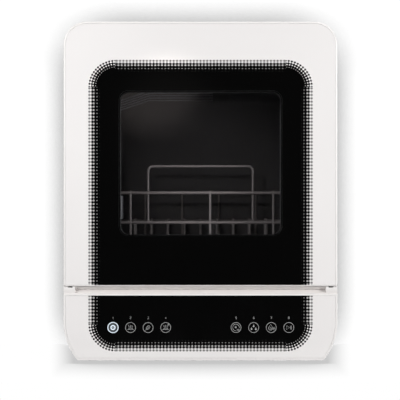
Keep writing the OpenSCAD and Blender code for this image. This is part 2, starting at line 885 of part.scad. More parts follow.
// drain
drain_out = drain_pump_r + 20;
module drain_pump() {
  mid_y = drain_y - drain_l / 2;
  end_x = sump_x - drain_out;
  color("dimgray") difference() {
    union() {
      rod_y(sump_x, drain_y - drain_l, drain_y, pump_z, drain_pump_r);
      rod_y(sump_x, drain_y - drain_l - drain_motor_l, drain_y - drain_l, pump_z, drain_motor_r);
      rod_x(end_x, sump_x, mid_y, pump_z, pipe_r);
    }
    rod_y(sump_x, drain_y - drain_l + pump_wall, drain_y - pump_wall, pump_z,
      drain_pump_r - pump_wall);
    rod_y(sump_x, drain_y - drain_l, drain_y + over, pump_z, pipe_r - over);
    rod_y(sump_x, drain_y - drain_l - 14, drain_y, pump_z, shaft_r + run);
    rod_x(end_x - over, sump_x, mid_y, pump_z, pipe_r - pipe_wall);
  }
}
module drain_impeller() {
  blade = drain_pump_r - pump_wall - 4;
  y0 = drain_y - drain_l + pump_wall + 2;
  color("white") {
    rod_y(sump_x, drain_y - drain_l - 12, drain_y - pump_wall - 3, pump_z, shaft_r);
    rod_y(sump_x, y0, y0 + 2, pump_z, blade);
    for (i = [0:3]) translate([sump_x, y0, pump_z]) rotate([0, i * 90, 0])
      translate([0, 0, -1]) cube([blade, 9, 2]);
  }
}
module drain_path(r) {
  mid_y = drain_y - drain_l / 2;
  rod_x(drain_pipe_x, sump_x - drain_out, mid_y, pump_z, r);
  rod_y(drain_pipe_x, mid_y, back_y, pump_z, r);
  translate([drain_pipe_x, mid_y, pump_z]) sphere(r);
}
module drain_pipe() {
  end_y = y_b + rear_out;
  color("gray") difference() {
    union() {
      drain_path(pipe_r);
      rod_y(drain_pipe_x, back_y - over, end_y, pump_z, drain_r - 1);
      rod_y(drain_pipe_x, y_b, end_y, pump_z, drain_r);
      rod_y(drain_pipe_x, back_y - 6, back_y, pump_z, drain_r + 4);
    }
    drain_path(pipe_r - pipe_wall);
    rod_y(drain_pipe_x, back_y - over, end_y + over, pump_z, pipe_r - pipe_wall);
  }
}

// inlet, tank and filler
module inlet_valve() {
  end_y = y_b + rear_out;
  color("whitesmoke") difference() {
    union() {
      block(valve_x - 20, valve_x + 20, back_y - 50, back_y, pump_z - 20, pump_z + 20);
      rod_y(valve_x, back_y - over, end_y, pump_z, inlet_r - 1);
      rod_y(valve_x, y_b, end_y, pump_z, inlet_r);
      rod_z(valve_x, fill_y, pump_z, tank_z, pipe_r - 1);
    }
    rod_y(valve_x, back_y - 30, end_y + over, pump_z, inlet_r - 4);
    rod_z(valve_x, fill_y, pump_z + 10, tank_z + over, pipe_r - pipe_wall - 1);
  }
}
module tank_shape(t) {
  translate([-tank_w / 2 + t, tank_z + t])
    round_rect(tank_w - 2 * t, tank_h - 2 * t, 12 - t);
}
module water_tank() {
  holes = pipe_r - pipe_wall;
  color("lightblue") difference() {
    union() {
      along_y(tank_y, tank_y + tank_t) tank_shape(0);
      rod_z(fill_x, fill_y, tank_top - tank_wall, well_floor, neck_r);
    }
    along_y(tank_y + tank_wall, tank_y + tank_t - tank_wall) tank_shape(tank_wall);
    rod_z(fill_x, fill_y, tank_top - 2 * tank_wall, well_floor + over, neck_r - 3);
    rod_z(sump_x, fill_y, tank_z - over, tank_z + 2 * tank_wall, holes);
    rod_z(valve_x, fill_y, tank_z - over, tank_z + 2 * tank_wall, holes - 1);
  }
}
module fill_cap() {
  plug_r = neck_r - 6;
  y0 = fill_y - cap_d / 2;
  color("white") difference() {
    union() {
      translate([fill_x - cap_w / 2, y0, cap_top - cap_t]) linear_extrude(cap_t) {
        round_rect(cap_w, cap_d - cap_t, cap_r);
        translate([0, cap_d / 2]) square([cap_w, cap_d / 2 - cap_t / 2]);
      }
      rod_x(fill_x - cap_w / 2, fill_x + cap_w / 2, cap_y, cap_z, cap_t / 2);
      rod_z(fill_x, fill_y, well_floor - 3, cap_top - cap_t / 2, plug_r);
    }
    rod_x(fill_x - cap_w, fill_x + cap_w, cap_y, cap_z, cap_pin_r + run);
    rod_z(fill_x, fill_y, well_floor - 5, cap_top - cap_t, plug_r - 2.5);
  }
}
fan_wall = 3;
fan_back = fan_y + 30;
module drying_fan() {
  hub_y = fan_back - 6;
  color("dimgray") {
    difference() {
      union() {
        rod_y(fan_x, tub_back, fan_y + fan_wall, fan_z, fan_duct_r + fan_wall);
        rod_y(fan_x, fan_y, back_y, fan_z, fan_r);
      }
      rod_y(fan_x, tub_back - over, fan_y + fan_wall + over, fan_z, fan_duct_r);
      rod_y(fan_x, fan_y + fan_wall, back_y + over, fan_z, fan_r - fan_wall);
    }
    difference() {
      union() {
        rod_y(fan_x, hub_y, fan_back + 8, fan_z, 12);
        for (i = [0:2]) translate([fan_x, hub_y, fan_z]) rotate([0, i * 120, 0])
          translate([0, 0, -2.5]) cube([fan_r - fan_wall / 2, 5, 5]);
      }
      rod_y(fan_x, hub_y - over, hub_y + 10, fan_z, shaft_r - 1 + run);
    }
  }
}
fan_hub_r = 10;
fan_hub_l = 14;
fan_blade = 16;
fan_gap = 3;
module fan_wheel() {
  y0 = fan_y + fan_wall + fan_gap;
  reach = fan_r - fan_wall - 3 * fan_gap;
  color("black") {
    rod_y(fan_x, y0, y0 + fan_hub_l, fan_z, fan_hub_r);
    rod_y(fan_x, y0, fan_back + over, fan_z, shaft_r - 1);
    for (i = [0:6]) translate([fan_x, y0 + fan_hub_l / 2, fan_z]) rotate([0, i * 360 / 7, 0])
      translate([fan_hub_r * 0.6, 0, 0]) rotate([35, 0, 0])
        translate([0, -over, -fan_blade / 2]) cube([reach, 2 * over, fan_blade]);
  }
}
module float_cap() {
  z0 = tub_floor + near;
  crown = 2;
  color("whitesmoke") difference() {
    rod_z(float_x, float_y, z0, z0 + float_h, float_r);
    rod_z(float_x, float_y, z0 - over, z0 + float_h - crown, stem_r + near);
  }
}

// hinges and latches
arm_neck = 10;
eye_r = 9;
plate_half = 14;
plate_up = 13;
plate_depth = 3;
module hinge_brackets() {
  x1 = web_out + skin;
  x0 = web_in - skin - damper_l;
  color("silver") for (s = [-1, 1]) mirror([s < 0 ? 1 : 0, 0, 0]) {
    along_x(hinge_x - arm_w / 2, hinge_x + arm_w / 2) {
      translate([hinge_y, hinge_z]) circle(eye_r);
      translate([hinge_y, hinge_z - arm_neck / 2]) square([tub_y - hinge_y + over, arm_neck]);
    }
    block(hinge_x - plate_half, hinge_x + plate_half, tub_y, tub_y + plate_depth,
      hinge_z - plate_up, hinge_z + plate_up);
    rod_x(x0, x1, hinge_y, hinge_z, pin_r);
  }
}
latch_gap = 2;
strike_wall = 2;
module latch_strikes() {
  x = latch_w / 2 + latch_gap;
  z = latch_h / 2 + 2 * latch_gap;
  color("silver") for (s = [-1, 1]) mirror([s < 0 ? 1 : 0, 0, 0]) difference() {
    block(latch_x - x - strike_wall, latch_x + x + strike_wall, tub_y,
      tub_y + latch_l + strike_wall, latch_z - z - 2.5 * strike_wall,
      latch_z + z + 2.5 * strike_wall);
    block(latch_x - x, latch_x + x, tub_y - over, tub_y + latch_l, latch_z - z, latch_z + z);
  }
}

// door
module door_profile(front, t) {
  intersection() {
    union() {
      translate([y_f, door_z + t]) square([door_t - t, hinge_z - door_z - t]);
      translate([y_f, hinge_z]) square([door_t - hinge_r, hinge_r - t]);
      translate([hinge_y, hinge_z]) circle(hinge_r - t);
    }
    translate([front, door_z]) square([case_d, case_h]);
  }
}
module door_solid(t, front) {
  intersection() {
    along_y(front, door_y) outline_between(t, door_z + t, case_top);
    along_x(-case_w, case_w) door_profile(front, t);
  }
}
module hinge_web(x0, x1) {
  intersection() {
    door_solid(0, y_f + glass_t);
    block(x0, x1, y_f, door_y, liner_top, case_top);
  }
}
liner_bosses = [for (s = [-1, 1], z = [door_z + 20, window_z + window_h / 2 - 30,
  window_z + window_h + 20]) [s * (window_w / 2 + 45), z]];
module door_frame() {
  cut = 8;
  slot_w = arm_w / 2 + web_gap;
  color("white") difference() {
    union() {
      difference() {
        door_solid(0, y_f);
        along_y(y_f - over, glass_back) outline_between(rim, door_z + rim, case_top - rim);
        door_solid(skin, wall_back);
        along_y(liner_y - over, door_y + over) outline_between(skin, door_z + skin, liner_top);
      }
      for (s = [-1, 1]) {
        hinge_web(s * hinge_x - slot_w - skin, s * hinge_x - slot_w);
        hinge_web(s * hinge_x + slot_w, s * hinge_x + slot_w + skin);
      }
      along_y(wall_back - over, liner_y - pane_t) window_shape(2);
      for (p = liner_bosses) rod_y(p[0], wall_back - over, liner_y, p[1], 5);
    }
    along_y(y_f, door_y) window_shape(-1);
    for (s = [-1, 1]) {
      block(s * hinge_x - slot_w, s * hinge_x + slot_w, hinge_y - cut, door_y + over,
        hinge_z - cut, case_top + over);
      rod_x(s * hinge_x - 2 * slot_w - skin, s * hinge_x + 2 * slot_w + skin, hinge_y, hinge_z,
        pin_r + run);
    }
  }
}
module door_glass() {
  g = rim + slip;
  color("black") along_y(y_f, glass_back) difference() {
    outline_between(g, door_z + g, case_top - g);
    window_shape(slip / 2);
  }
}
module window_pane() {
  color("lightsteelblue") along_y(y_f, glass_back) window_shape(0);
}
module inner_pane() {
  color("lightsteelblue") along_y(liner_y - pane_t, liner_y) window_shape(8);
}
module door_liner() {
  g = skin + slip;
  color("lightslategray") {
    along_y(liner_y, door_y) difference() {
      outline_between(g, door_z + g, liner_top - slip);
      window_shape(-1);
    }
    for (s = [-1, 1])
      block(s * latch_x - latch_w / 2, s * latch_x + latch_w / 2, door_y - over,
        door_y + latch_l, latch_z - latch_h / 2, latch_z + latch_h / 2);
  }
}
damper_r = 11;
module hinge_dampers() {
  x1 = web_in - skin;
  color("dimgray") for (s = [-1, 1]) mirror([s < 0 ? 1 : 0, 0, 0]) difference() {
    rod_x(x1 - damper_l, x1, hinge_y, hinge_z, damper_r);
    rod_x(x1 - damper_l - over, x1 + over, hinge_y, hinge_z, pin_r + run);
  }
}

// rack
module rack_floor() {
  color("gray") {
    for (i = [0:7]) {
      cut = i == 0 || i == 7 ? 0 : wire_r;
      rod_y(-rack_x + i * floor_pitch, rack_y0 + cut, rack_y1 - cut, floor_z, wire_r);
    }
    for (i = [0:10])
      rod_x(-rack_x - wire_r, rack_x + wire_r, rack_y0 + i * cross_pitch, cross_z, wire_r);
  }
}
module end_grille(y, posts) {
  color("gray") {
    for (z = [low_rail_z, high_rail_z]) rod_x(-rack_x - rail_r, rack_x + rail_r, y, z, rail_r);
    for (x = posts)
      rod_z(x, y, (abs(x) > rack_x - wire_r ? floor_z : cross_z) + wire_r, post_top, wire_r);
  }
}
module rack_front() end_grille(rack_y0, concat([-rack_x, rack_x], front_posts));
module rack_back() end_grille(rack_y1, [for (i = [0:5]) -rack_x + i * rack_w / 5]);
module side_grille(x) {
  color("gray") {
    for (z = [low_rail_z, high_rail_z])
      rod_y(x, rack_y0 + rail_r, rack_y1 - rail_r, z, rail_r);
    for (i = [1:4])
      rod_z(x, rack_y0 + i * rack_d / 5, floor_z + wire_r, high_rail_z, wire_r);
  }
}
module rack_sides() {
  for (s = [-1, 1]) side_grille(s * rack_x);
}
module cup_frame() {
  y = rack_y0 + rail_r + wire_r;
  color("gray") {
    rod_x(-cup_half + cup_r, cup_half - cup_r, y, cup_z, wire_r);
    for (s = [-1, 1]) {
      rod_z(s * cup_half, y, low_rail_z - rail_r, cup_z - cup_r, wire_r);
      mirror([s < 0 ? 1 : 0, 0, 0]) translate([cup_half - cup_r, y, cup_z - cup_r])
        rotate([90, 0, 0]) rotate_extrude(angle = 90) translate([cup_r, 0]) circle(wire_r);
    }
  }
}
module rack_tines() {
  pitch = floor_pitch * 0.6;
  color("gray") for (row = [4, 7], i = [0:tine_n - 1])
    tine((i - (tine_n - 1) / 2) * pitch, rack_y0 + row * cross_pitch);
}
module tine(x, y) {
  rod_z(x, y, cross_z + wire_r, floor_z + tine_h, wire_r);
  translate([x, y, floor_z + tine_h]) sphere(wire_r);
}
module tablet_cup() {
  x0 = wire_r - rack_x;
  y0 = rack_y0 + rack_d / 2 - 30;
  z0 = low_rail_z + rail_r + 2;
  z1 = high_rail_z - rail_r - 2;
  t = 1.5;
  color("lightgray") difference() {
    block(x0, x0 + 24, y0, y0 + 60, z0, z1);
    block(x0 + t, x0 + 24 - t, y0 + t, y0 + 60 - t, z0 + t, z1 + over);
  }
}
module rack_runners() {
  y0 = rack_y0 + 4;
  color("silver") for (s = [-1, 1]) mirror([s < 0 ? 1 : 0, 0, 0]) {
    block(runner_x, runner_x + sheet_t, y0, rack_y1, runner_z, low_rail_z);
    block(runner_x, runner_x + runner_w, y0, rack_y1, runner_z, runner_z + sheet_t);
    block(runner_x, runner_x + sheet_t, roller_back_y - 7, roller_back_y + 7,
      roller_z - 5, runner_z + over);
    rod_x(runner_x, roller_back_x + roller_back_w + 0.2, roller_back_y, roller_z, axle_r);
  }
}

base_pan();
pan_supports();
left_side_panel();
right_side_panel();
top_cover();
back_panel();
vent_grille();
back_screws();
feet();
front_frame();
lower_front_panel();
control_glass();
light_guides();
touch_board();
handle_recess();
board_box();
main_board();
cord_gland();
tub();
door_seal();
rack_rails();
sump();
filter_plate();
coarse_filter();
wash_pump();
pump_motor();
wash_impeller();
arm_post();
lower_spray_arm();
riser_pipe();
upper_spray_arm();
drain_pump();
drain_impeller();
drain_pipe();
inlet_valve();
water_tank();
fill_cap();
drying_fan();
fan_wheel();
float_cap();
hinge_brackets();
latch_strikes();
door_frame();
door_glass();
window_pane();
inner_pane();
door_liner();
hinge_dampers();
rack_floor();
rack_front();
rack_back();
rack_sides();
cup_frame();
rack_tines();
tablet_cup();
rack_runners();
roller_front_left();
roller_front_right();
roller_back_left();
roller_back_right();
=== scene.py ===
import json
import math

import bmesh
import bpy
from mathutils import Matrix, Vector


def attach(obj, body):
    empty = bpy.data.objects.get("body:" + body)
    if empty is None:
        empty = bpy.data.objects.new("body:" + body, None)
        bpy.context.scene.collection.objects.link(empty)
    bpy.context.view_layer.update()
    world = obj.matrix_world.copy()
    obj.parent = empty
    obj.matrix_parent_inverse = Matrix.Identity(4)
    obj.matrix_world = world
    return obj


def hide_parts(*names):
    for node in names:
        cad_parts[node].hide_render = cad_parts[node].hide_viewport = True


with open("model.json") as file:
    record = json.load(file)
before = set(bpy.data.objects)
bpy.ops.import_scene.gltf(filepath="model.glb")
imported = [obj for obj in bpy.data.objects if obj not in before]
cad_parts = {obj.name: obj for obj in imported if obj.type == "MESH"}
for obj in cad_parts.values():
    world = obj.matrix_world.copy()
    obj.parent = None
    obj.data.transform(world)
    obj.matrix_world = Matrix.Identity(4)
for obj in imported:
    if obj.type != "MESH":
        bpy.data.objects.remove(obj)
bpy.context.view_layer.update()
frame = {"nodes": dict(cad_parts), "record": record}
nodes = frame["nodes"]
slotOf = {part["node"]: part["material_slot"] for part in frame["record"]["subparts"]}
bodyOf = {name: body for body, names in frame["record"]["behaviour"]["bodies"].items() for name in names}
print("frame loaded with", len(nodes), "nodes")


# small helpers for shader trees

def startFinish(name):
    material = bpy.data.materials.new(name)
    material.use_nodes = True
    tree = material.node_tree
    return material, tree, tree.nodes["Principled BSDF"]


def addNode(tree, kind, inputs, **settings):
    node = tree.nodes.new(kind)
    for key, value in settings.items():
        setattr(node, key, value)
    for key, value in inputs.items():
        if isinstance(value, bpy.types.NodeSocket):
            tree.links.new(value, node.inputs[key])
        else:
            node.inputs[key].default_value = value
    return node


def calc(tree, operation, *terms):
    inputs = {place: term for place, term in enumerate(terms)}
    return addNode(tree, "ShaderNodeMath", inputs, operation=operation).outputs[0]


def remap(tree, value, low, high, newLow, newHigh, **settings):
    inputs = {0: value, 1: low, 2: high, 3: newLow, 4: newHigh}
    return addNode(tree, "ShaderNodeMapRange", inputs, **settings).outputs[0]


def objectPoint(tree):
    return tree.nodes.new("ShaderNodeTexCoord").outputs["Object"]


def axesOf(tree, point):
    return addNode(tree, "ShaderNodeSeparateXYZ", {0: point}).outputs


def seenDirectly(tree):  # 1 for what the eye, a mirror or a pane shows, 0 for light on its way
    rays = tree.nodes.new("ShaderNodeLightPath").outputs
    mirrored = calc(tree, "MAXIMUM", rays["Is Glossy Ray"], rays["Is Transmission Ray"])
    return calc(tree, "MAXIMUM", rays["Is Camera Ray"], mirrored)


def speckle(tree, size, detail=2.0, stretch=None):
    point = objectPoint(tree)
    if stretch:
        point = addNode(tree, "ShaderNodeMapping", {"Vector": point, "Scale": stretch}).outputs[0]
    noise = addNode(tree, "ShaderNodeTexNoise", {"Vector": point, "Scale": 1.0 / size, "Detail": detail})
    return noise.outputs[0]


def between(tree, share, low, high):  # most of a speckle lies from 0.25 to 0.75, this spreads it over two values
    return remap(tree, share, 0.25, 0.75, low, high)


def blendColours(tree, share, first, second):
    mixer = addNode(tree, "ShaderNodeMix", {0: share}, data_type="RGBA")
    for place, colour in ((6, first), (7, second)):
        if isinstance(colour, bpy.types.NodeSocket):
            tree.links.new(colour, mixer.inputs[place])
        else:
            mixer.inputs[place].default_value = (*colour, 1.0)
    return mixer.outputs[2]


def linear(*levels):  # screen levels from 0 to 255 as light
    return tuple((v / 255 / 12.92) if v < 11 else ((v / 255 + 0.055) / 1.055) ** 2.4 for v in levels)


def makeMatt(shader, grey):
    shader.inputs["Base Color"].default_value = (grey, grey, grey, 1.0)
    shader.inputs["Roughness"].default_value = 0.9
    shader.inputs["Specular IOR Level"].default_value = 0.0


# one entry for each finish: colour and the colour it drifts to, size of the patches,
# roughness and its spread, size and height of the grain, all lengths in metres
finishLooks = {
    "whiteShell": {"colour": (245, 242, 241), "drift": (243, 240, 238), "patch": 0.25, "rough": 0.34,
                   "spread": 0.03, "grain": 0.0016, "height": 0.000005},
    # the recess under the door: painted shade, a little darker than the shell and greyer in its lower part
    "recessShellPaintedShade": {"colour": (244, 241, 240), "drift": (242, 239, 237), "patch": 0.25, "rough": 0.4,
                    "spread": 0.03, "grain": 0.0016, "height": 0.000005,
                    "paintedShadeColour": (233, 229, 227), "paintedShadeFrom": 0.1045, "lowTo": 0.1015},
    "panPlastic": {"colour": (226, 225, 222), "drift": (220, 219, 216), "patch": 0.12, "rough": 0.48,
                   "spread": 0.05, "grain": 0.0007, "height": 0.00002},
    "darkPlastic": {"colour": (46, 46, 48), "drift": (38, 38, 40), "patch": 0.05, "rough": 0.5,
                    "spread": 0.08, "grain": 0.0006, "height": 0.00003},
    "greyPlastic": {"colour": (128, 130, 133), "drift": (119, 121, 124), "patch": 0.05, "rough": 0.45,
                    "spread": 0.06, "grain": 0.0006, "height": 0.00003},
    "palePlastic": {"colour": (206, 208, 210), "drift": (199, 201, 204), "patch": 0.04, "rough": 0.36,
                    "spread": 0.05, "grain": 0.0007, "height": 0.00002},
    # the steel tub as a dark grey that is not metal: painted shade and painted dark reflection for the dim inside
    "tubLiningPaintedShade": {"colour": (90, 88, 87), "drift": (86, 84, 83), "patch": 0.16, "rough": 0.32,
                  "spread": 0.02, "grain": 0.0012, "height": 0.00001},
    "steel": {"colour": (196, 197, 199), "drift": (178, 179, 182), "patch": 0.03, "rough": 0.3,
              "spread": 0.08, "grain": 0.0004, "height": 0.00001, "metal": 1.0, "stretch": (1.0, 14.0, 14.0)},
    "rubber": {"colour": (42, 42, 43), "drift": (50, 49, 49), "patch": 0.012, "rough": 0.7,
               "spread": 0.1, "grain": 0.0004, "height": 0.00004},
    "circuit": {"colour": (20, 74, 44), "drift": (34, 104, 62), "patch": 0.004, "rough": 0.35,
                "spread": 0.1, "grain": 0.0008, "height": 0.00008},
    "coatedWire": {"colour": (158, 151, 147), "drift": (146, 139, 136), "patch": 0.04, "rough": 0.38,
                   "spread": 0.06, "grain": 0.0009, "height": 0.00002},
    # painted shade: black for rims and gaps that should read as shade
    "paintedShadeBlack": {"colour": (12, 12, 13), "drift": (17, 17, 18), "patch": 0.02, "rough": 0.6,
                  "spread": 0.1, "grain": 0.0006, "height": 0.00002},
    "keyInk": {"colour": (166, 167, 166), "drift": (156, 157, 157), "patch": 0.003, "rough": 0.45,
               "spread": 0.08, "grain": 0.0004, "height": 0.000005},
}
smearShare = 0.45  # size of the smears in the gloss, as a share of the patches of colour


def makeFinish(name):
    look = finishLooks[name]
    material, tree, shader = startFinish(name)
    stretch = look.get("stretch")
    patches = speckle(tree, look["patch"], 3.0, stretch)
    colour = blendColours(tree, between(tree, patches, 0.0, 1.0), linear(*look["colour"]), linear(*look["drift"]))
    if "paintedShadeColour" in look:  # painted shade: greyer below a given height
        height = axesOf(tree, objectPoint(tree))["Z"]
        share = remap(tree, height, look["lowTo"], look["paintedShadeFrom"], 0.0, 1.0)
        colour = blendColours(tree, share, linear(*look["paintedShadeColour"]), colour)
    tree.links.new(colour, shader.inputs["Base Color"])
    low, high = look["rough"] - look["spread"], look["rough"] + look["spread"]
    smears = speckle(tree, look["patch"] * smearShare, 4.0, stretch)
    tree.links.new(between(tree, smears, low, high), shader.inputs["Roughness"])
    shader.inputs["Metallic"].default_value = look.get("metal", 0.0)
    grain = speckle(tree, look["grain"], 2.0, stretch)
    bump = addNode(tree, "ShaderNodeBump", {"Height": grain, "Distance": look["height"], "Strength": 1.0})
    tree.links.new(bump.outputs[0], shader.inputs["Normal"])
    return material


finishes = {name: makeFinish(name) for name in finishLooks}

# the dotted border printed on the glass, in millimetres; ink is the share of black
dotPrint = {"halfWide": 156.0, "halfHigh": 202.6, "middle": 219.5, "corner": 38.0, "fullBlack": 16.0,
            "firstInk": 0.214, "inkRise": 0.083, "mostInk": 1.14, "cornerInk": 0.36, "cornerRise": 0.057,
            "acrossPitch": 4.37, "alongPitch": 4.65, "firstRow": 1.5, "cornerPitch": 3.6, "soft": 1.3,
            "cornerSoft": 3.5, "white": (245, 242, 241), "drift": 2, "black": (7, 7, 7)}
# its gloss: size of the patches and smears in metres, range of roughness, share of shine
glassGloss = {"patch": 0.14, "smear": 0.05, "rough": (0.05, 0.1), "shine": 0.25}


def makePrintedGlass(name):
    material, tree, shader = startFinish(name)
    p = dotPrint
    axes = axesOf(tree, objectPoint(tree))
    acrossX = calc(tree, "MULTIPLY", axes["X"], 1000.0)
    upZ = calc(tree, "MULTIPLY_ADD", axes["Z"], 1000.0, -p["middle"])
    x = calc(tree, "ABSOLUTE", acrossX)
    z = calc(tree, "ABSOLUTE", upZ)
    sideX = calc(tree, "SUBTRACT", x, p["halfWide"] - p["corner"])
    sideZ = calc(tree, "SUBTRACT", z, p["halfHigh"] - p["corner"])
    outX = calc(tree, "MAXIMUM", sideX, 0.0)
    outZ = calc(tree, "MAXIMUM", sideZ, 0.0)
    squares = calc(tree, "ADD", calc(tree, "MULTIPLY", outX, outX), calc(tree, "MULTIPLY", outZ, outZ))
    reach = calc(tree, "SQRT", squares)
    inner = calc(tree, "MINIMUM", calc(tree, "MAXIMUM", sideX, sideZ), 0.0)
    depth = calc(tree, "SUBTRACT", p["corner"], calc(tree, "ADD", reach, inner))
    inCorner = calc(tree, "GREATER_THAN", calc(tree, "MINIMUM", sideX, sideZ), 0.0)
    onSide = calc(tree, "GREATER_THAN", sideX, sideZ)
    # places along the straight edges and round the corners, counted in dots
    straightX = calc(tree, "DIVIDE", acrossX, p["alongPitch"])
    straightZ = calc(tree, "DIVIDE", upZ, p["alongPitch"])
    edge = calc(tree, "ADD", calc(tree, "MULTIPLY", onSide, straightZ),
                calc(tree, "MULTIPLY", calc(tree, "SUBTRACT", 1.0, onSide), straightX))
    arcDots = round((p["corner"] - p["fullBlack"] / 2) * math.pi / 2 / p["cornerPitch"])
    turn = calc(tree, "MULTIPLY", calc(tree, "ARCTAN2", outZ, outX), arcDots / (math.pi / 2))
    along = calc(tree, "ADD", calc(tree, "MULTIPLY", inCorner, turn),
                 calc(tree, "MULTIPLY", calc(tree, "SUBTRACT", 1.0, inCorner), edge))
    pitch = calc(tree, "MULTIPLY_ADD", inCorner, p["cornerPitch"] - p["acrossPitch"], p["acrossPitch"])
    across = calc(tree, "DIVIDE", calc(tree, "SUBTRACT", depth, p["firstRow"]), pitch)
    waves = calc(tree, "ADD", calc(tree, "COSINE", calc(tree, "MULTIPLY", along, 2 * math.pi)),
                 calc(tree, "COSINE", calc(tree, "MULTIPLY", across, 2 * math.pi)))
    screen = calc(tree, "MULTIPLY_ADD", waves, 0.25, 0.5)
    rise = calc(tree, "MULTIPLY_ADD", inCorner, p["cornerRise"] - p["inkRise"], p["inkRise"])
    start = calc(tree, "MULTIPLY_ADD", inCorner, p["cornerInk"] - p["firstInk"], p["firstInk"])
    ink = calc(tree, "MINIMUM", calc(tree, "MULTIPLY_ADD", depth, rise, start), p["mostInk"])
    over = calc(tree, "SUBTRACT", calc(tree, "ADD", screen, ink), 1.0)
    soft = calc(tree, "MULTIPLY_ADD", inCorner, p["cornerSoft"] - p["soft"], p["soft"])
    dots = addNode(tree, "ShaderNodeMath", {0: over, 1: soft, 2: 0.5}, operation="MULTIPLY_ADD", use_clamp=True)
    share = dots.outputs[0]
    share = calc(tree, "MAXIMUM", share, calc(tree, "GREATER_THAN", depth, p["fullBlack"]))
    share = calc(tree, "MULTIPLY", share, calc(tree, "GREATER_THAN", depth, 0.0))
    g = glassGloss
    patches = between(tree, speckle(tree, g["patch"]), 0.0, 1.0)
    white = blendColours(tree, patches, linear(*p["white"]), linear(*[v - p["drift"] for v in p["white"]]))
    colour = blendColours(tree, share, white, linear(*p["black"]))
    tree.links.new(colour, shader.inputs["Base Color"])
    tree.links.new(between(tree, speckle(tree, g["smear"], 4.0), *g["rough"]), shader.inputs["Roughness"])
    shader.inputs["Specular IOR Level"].default_value = g["shine"]
    return material


# clear parts: tint and the levels it drifts by, patches and smears in metres, range of roughness, bending of light
clearLooks = {
    "clearGlass": {"tint": (240, 240, 241), "drift": 3, "patch": 0.09, "smear": 0.03, "rough": (0.008, 0.02),
                   "bend": 1.47},
    "clearPlastic": {"tint": (222, 231, 238), "drift": 3, "patch": 0.09, "smear": 0.03, "rough": (0.12, 0.3),
                     "bend": 1.47},
}


def makeClearFinish(name):
    look = clearLooks[name]
    material, tree, shader = startFinish(name)
    patches = between(tree, speckle(tree, look["patch"]), 0.0, 1.0)
    tinted = blendColours(tree, patches, linear(*look["tint"]), linear(*[v - look["drift"] for v in look["tint"]]))
    tree.links.new(tinted, shader.inputs["Base Color"])
    smears = between(tree, speckle(tree, look["smear"]), *look["rough"])
    tree.links.new(smears, shader.inputs["Roughness"])
    shader.inputs["Transmission Weight"].default_value = 1.0
    shader.inputs["IOR"].default_value = look["bend"]
    # lamps light what stands behind the pane
    through = addNode(tree, "ShaderNodeBsdfTransparent", {0: tinted})
    rays = tree.nodes.new("ShaderNodeLightPath")
    lighting = calc(tree, "MAXIMUM", rays.outputs["Is Shadow Ray"], rays.outputs["Is Diffuse Ray"])
    mixed = addNode(tree, "ShaderNodeMixShader", {0: lighting, 1: shader.outputs[0], 2: through.outputs[0]})
    tree.links.new(mixed.outputs[0], tree.nodes["Material Output"].inputs["Surface"])
    return material


# lit marks of the power key: colour of the light and how bright it is
keyLights = {
    "keyLight": {"colour": (0.7, 0.78, 0.86), "strength": 0.95},
    "keyHalo": {"colour": (0.03, 0.038, 0.046), "strength": 0.7},
}
# their plastic: size of the patches in metres, then the share of the colour in a dim patch and without the light
keyPlastic = {"patch": 0.002, "dim": 0.9, "unlit": 0.25, "rough": 0.4}


def makeKeyLight(name):
    look = keyLights[name]
    colour = look["colour"]
    k = keyPlastic
    material, tree, shader = startFinish(name)
    patches = between(tree, speckle(tree, k["patch"]), 0.0, 1.0)
    shine = blendColours(tree, patches, colour, [v * k["dim"] for v in colour])
    shader.inputs["Base Color"].default_value = (*[v * k["unlit"] for v in colour], 1.0)
    tree.links.new(shine, shader.inputs["Emission Color"])
    shader.inputs["Emission Strength"].default_value = look["strength"]
    shader.inputs["Roughness"].default_value = k["rough"]
    return material


finishes["printedGlass"] = makePrintedGlass("printedGlass")
finishes.update({name: makeClearFinish(name) for name in clearLooks})
finishes.update({name: makeKeyLight(name) for name in keyLights})
print("finishes ready:", len(finishes))

finishOfSlot = {
    "white_shell": "whiteShell", "pan_plastic": "panPlastic", "dark_plastic": "darkPlastic",
    "grey_plastic": "greyPlastic", "pale_plastic": "palePlastic", "printed_glass": "printedGlass",
    "clear_glass": "clearGlass", "clear_plastic": "clearPlastic", "steel": "steel",
    "tub_steel": "tubLiningPaintedShade", "rubber": "rubber", "board": "circuit", "coated_wire": "coatedWire",
}


def dress(piece, finish):
    piece.data.materials.clear()
    piece.data.materials.append(finishes[finish])


for name, node in nodes.items():
    dress(node, finishOfSlot[slotOf[name]])


# outline of the machine seen from the front, in metres
outline = {"half": 0.19, "top": 0.475, "bottom": 0.005, "topRadius": 0.032, "topCentre": 0.443,
           "lowRadius": 0.083, "lowCentre": 0.058, "front": -0.205}


def insideOutline(x, z):
    o = outline
    x = abs(x)
    if z > o["topCentre"] and x > o["half"] - o["topRadius"]:
        return o["topRadius"] - math.hypot(x - o["half"] + o["topRadius"], z - o["topCentre"])
    gap = min(o["half"] - x, o["top"] - z, z - o["bottom"])
    if z < o["lowCentre"] and x > o["half"] - o["lowRadius"]:
        gap = min(o["lowRadius"] - math.hypot(x - o["half"] + o["lowRadius"], z - o["lowCentre"]), z - o["bottom"])
    return gap


# edges on the rim of the front: how far they may lie from its face and its outline, and their least height, in metres
rimZone = {"behind": 0.00005, "inward": 0.0001, "above": 0.0055}


def onFrontRim(edge):
    return all(y <= outline["front"] + rimZone["behind"] and insideOutline(x, z) <= rimZone["inward"]
               and z > rimZone["above"] for x, y, z in (corner.co for corner in edge.verts))


def bevelEdges(mesh, edges, width, steps):
    if edges:
        bmesh.ops.bevel(mesh, geom=edges, offset=width, offset_type="OFFSET", segments=steps, profile=0.5,
                        affect="EDGES", clamp_overlap=True)


